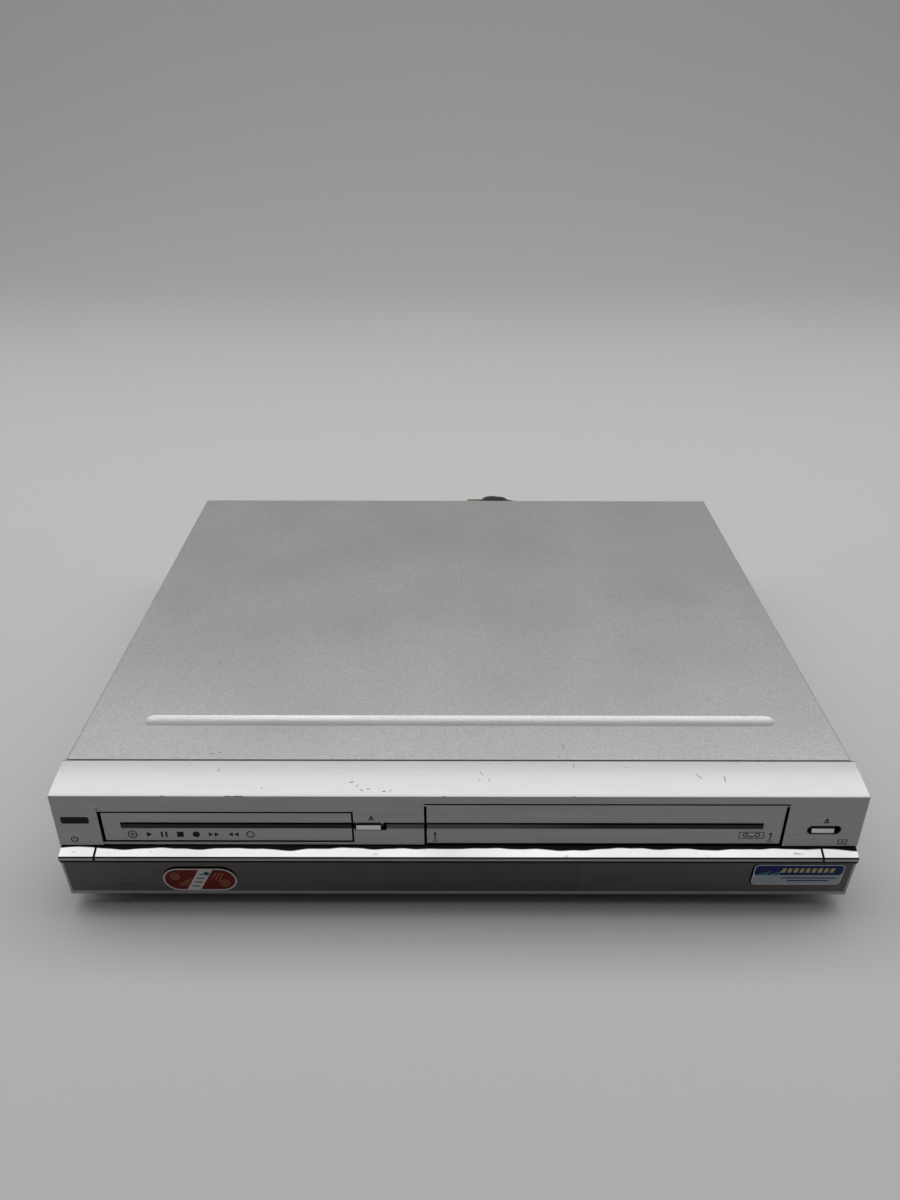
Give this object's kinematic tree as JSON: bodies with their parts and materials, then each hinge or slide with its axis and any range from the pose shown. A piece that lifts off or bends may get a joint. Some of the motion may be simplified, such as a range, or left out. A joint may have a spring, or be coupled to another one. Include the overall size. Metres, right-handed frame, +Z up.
{
  "type": "dvd vcr combo player",
  "caption": "Full-width disc and tape combo player with a disc tray, a cassette flap, a drop-down smoked door, a chrome bar with end buttons and a mains lead.",
  "frame": {"origin": "on the surface it stands on, under the middle of the case", "axes": "+X to the viewer's right along the front, +Y from the front to the back, +Z up"},
  "size_m": [0.43, 0.4897, 0.0785],
  "materials": {
    "silver_lid": "satin",
    "silver_panel": "satin",
    "chrome": "polished",
    "button_silver": "satin",
    "smoked_lens": "gloss",
    "dark_plastic": "satin",
    "grey_plastic": "satin",
    "zinc_steel": "satin",
    "polished_steel": "polished",
    "aluminium": "machined",
    "copper_core": "satin",
    "board_green": "satin",
    "display_glass": "gloss",
    "foot_rubber": "matte",
    "cord_rubber": "satin",
    "nickel": "satin"
  },
  "bodies": {
    "casing": {"top_cover": "silver_lid", "front_bezel": "silver_panel", "chrome_trim": "chrome", "control_panel": "dark_plastic", "loader_frame": "dark_plastic", "clamp_bridge": "dark_plastic", "rear_jack_block": "dark_plastic", "fan_frame": "dark_plastic", "capacitors": "dark_plastic", "chassis_pan": "zinc_steel", "rear_panel": "zinc_steel", "deck_plate": "zinc_steel", "tuner_module": "zinc_steel", "loading_motor": "zinc_steel", "case_screws": "zinc_steel", "lower_drum": "aluminium", "heat_sink": "aluminium", "transformer": "copper_core", "front_board": "board_green", "main_board": "board_green", "power_board": "board_green", "display_tube": "display_glass", "feet": "foot_rubber", "strain_relief": "cord_rubber", "mains_cord": "cord_rubber", "cord_coil": "cord_rubber", "cord_tie": "cord_rubber", "mains_plug": "cord_rubber", "antenna_connectors": "nickel", "front_av_jacks": "nickel"},
    "disc_tray": {"disc_tray": "dark_plastic", "tray_front": "silver_panel"},
    "tray_gear": {"tray_gear": "grey_plastic"},
    "traverse": {"traverse_frame": "dark_plastic", "pickup_rods": "polished_steel"},
    "turntable": {"turntable": "grey_plastic"},
    "disc_clamp": {"disc_clamp": "grey_plastic"},
    "pickup_sled": {"pickup_sled": "aluminium"},
    "cassette_flap": {"cassette_flap": "silver_panel"},
    "front_door": {"door_frame": "silver_panel", "door_lens": "smoked_lens"},
    "power_button": {"power_button": "chrome"},
    "source_button": {"source_button": "chrome"},
    "open_close_button": {"open_close_button": "button_silver"},
    "eject_button": {"eject_button": "button_silver"},
    "record_key": {"record_key": "dark_plastic"},
    "stop_key": {"stop_key": "dark_plastic"},
    "channel_key": {"channel_key": "dark_plastic"},
    "play_key": {"play_key": "dark_plastic"},
    "basket_carrier": {"basket_carrier": "zinc_steel"},
    "cassette_basket": {"cassette_basket": "zinc_steel"},
    "supply_reel": {"supply_reel": "grey_plastic"},
    "takeup_reel": {"takeup_reel": "grey_plastic"},
    "head_drum": {"head_drum": "aluminium"},
    "supply_guide": {"supply_guide": "polished_steel"},
    "takeup_guide": {"takeup_guide": "polished_steel"},
    "capstan": {"capstan": "polished_steel"},
    "pinch_arm": {"pinch_arm": "grey_plastic"},
    "pinch_roller": {"pinch_roller": "dark_plastic"},
    "fan_impeller": {"fan_impeller": "dark_plastic"}
  },
  "joints": [
    {"name": "tray_slide", "type": "slide", "parent": "casing", "child": "disc_tray", "axis": [0, -1, 0], "range_m": [0, 0.14]},
    {"name": "tray_gear_turn", "type": "hinge", "parent": "casing", "child": "tray_gear", "pos_m": [-0.1675, -0.145, 0.045], "axis": [0, 0, 1], "range_deg": [0, 764]},
    {"name": "traverse_tilt", "type": "hinge", "parent": "casing", "child": "traverse", "pos_m": [-0.1236, 0.014, 0.035], "axis": [-1, 0, 0], "range_deg": [0, 4.6]},
    {"name": "turntable_spin", "type": "hinge", "parent": "traverse", "child": "turntable", "pos_m": [-0.1236, -0.092, 0.04], "axis": [0, 0, 1], "continuous": true},
    {"name": "clamp_spin", "type": "hinge", "parent": "casing", "child": "disc_clamp", "pos_m": [-0.1236, -0.092, 0.058], "axis": [0, 0, 1], "continuous": true},
    {"name": "sled_slide", "type": "slide", "parent": "traverse", "child": "pickup_sled", "axis": [0, 1, 0], "range_m": [0, 0.034]},
    {"name": "flap_swing", "type": "hinge", "parent": "casing", "child": "cassette_flap", "pos_m": [0.07785, -0.1707, 0.0682], "axis": [1, 0, 0], "range_deg": [0, 82], "stiffness_Nm_per_rad": 0.004, "springref_deg": -17.19},
    {"name": "door_drop", "type": "hinge", "parent": "casing", "child": "front_door", "pos_m": [0, -0.173, 0.011], "axis": [1, 0, 0], "range_deg": [0, 90]},
    {"name": "power_press", "type": "slide", "parent": "casing", "child": "power_button", "axis": [0, 1, 0], "range_m": [0, 0.001], "stiffness_N_per_m": 300},
    {"name": "source_press", "type": "slide", "parent": "casing", "child": "source_button", "axis": [0, 1, 0], "range_m": [0, 0.001], "stiffness_N_per_m": 300},
    {"name": "open_close_press", "type": "slide", "parent": "casing", "child": "open_close_button", "axis": [0, 1, 0], "range_m": [0, 0.001], "stiffness_N_per_m": 300},
    {"name": "eject_press", "type": "slide", "parent": "casing", "child": "eject_button", "axis": [0, 1, 0], "range_m": [0, 0.001], "stiffness_N_per_m": 300},
    {"name": "record_press", "type": "slide", "parent": "casing", "child": "record_key", "axis": [0, 1, 0], "range_m": [0, 0.0008], "stiffness_N_per_m": 300},
    {"name": "stop_press", "type": "slide", "parent": "casing", "child": "stop_key", "axis": [0, 1, 0], "range_m": [0, 0.0008], "stiffness_N_per_m": 300},
    {"name": "channel_press", "type": "slide", "parent": "casing", "child": "channel_key", "axis": [0, 1, 0], "range_m": [0, 0.0008], "stiffness_N_per_m": 300},
    {"name": "play_press", "type": "slide", "parent": "casing", "child": "play_key", "axis": [0, 1, 0], "range_m": [0, 0.0008], "stiffness_N_per_m": 300},
    {"name": "basket_slide", "type": "slide", "parent": "casing", "child": "basket_carrier", "axis": [0, 1, 0], "range_m": [0, 0.07]},
    {"name": "basket_lower", "type": "slide", "parent": "basket_carrier", "child": "cassette_basket", "axis": [0, 0, -1], "range_m": [0, 0.018]},
    {"name": "supply_reel_spin", "type": "hinge", "parent": "casing", "child": "supply_reel", "pos_m": [0.03185, -0.028, 0.024], "axis": [0, 0, 1], "continuous": true},
    {"name": "takeup_reel_spin", "type": "hinge", "parent": "casing", "child": "takeup_reel", "pos_m": [0.12385, -0.028, 0.024], "axis": [0, 0, 1], "continuous": true},
    {"name": "drum_spin", "type": "hinge", "parent": "casing", "child": "head_drum", "pos_m": [0.07785, 0.078, 0.04], "axis": [0, 0, 1], "continuous": true},
    {"name": "takeup_guide_swing", "type": "hinge", "parent": "casing", "child": "takeup_guide", "pos_m": [0.07785, 0.078, 0.024], "axis": [0, 0, 1], "range_deg": [0, 100]},
    {"name": "supply_guide_swing", "type": "hinge", "parent": "casing", "child": "supply_guide", "pos_m": [0.07785, 0.078, 0.024], "axis": [0, 0, -1], "range_deg": [0, 100]},
    {"name": "capstan_spin", "type": "hinge", "parent": "casing", "child": "capstan", "pos_m": [0.13585, 0.04, 0.024], "axis": [0, 0, 1], "continuous": true},
    {"name": "pinch_swing", "type": "hinge", "parent": "casing", "child": "pinch_arm", "pos_m": [0.15585, 0.058, 0.024], "axis": [0, 0, -1], "range_deg": [0, 25]},
    {"name": "roller_spin", "type": "hinge", "parent": "pinch_arm", "child": "pinch_roller", "pos_m": [0.15369, 0.0341, 0.032], "axis": [0, 0, 1], "continuous": true},
    {"name": "fan_spin", "type": "hinge", "parent": "casing", "child": "fan_impeller", "pos_m": [-0.025, 0.167, 0.0422], "axis": [0, 1, 0], "continuous": true}
  ],
  "couplings": [
    {"joint": "tray_gear_turn", "follows": "tray_slide", "rad_per_m": 95.238},
    {"joint": "clamp_spin", "follows": "turntable_spin", "ratio": 1},
    {"joint": "supply_guide_swing", "follows": "takeup_guide_swing", "ratio": 1}
  ]
}
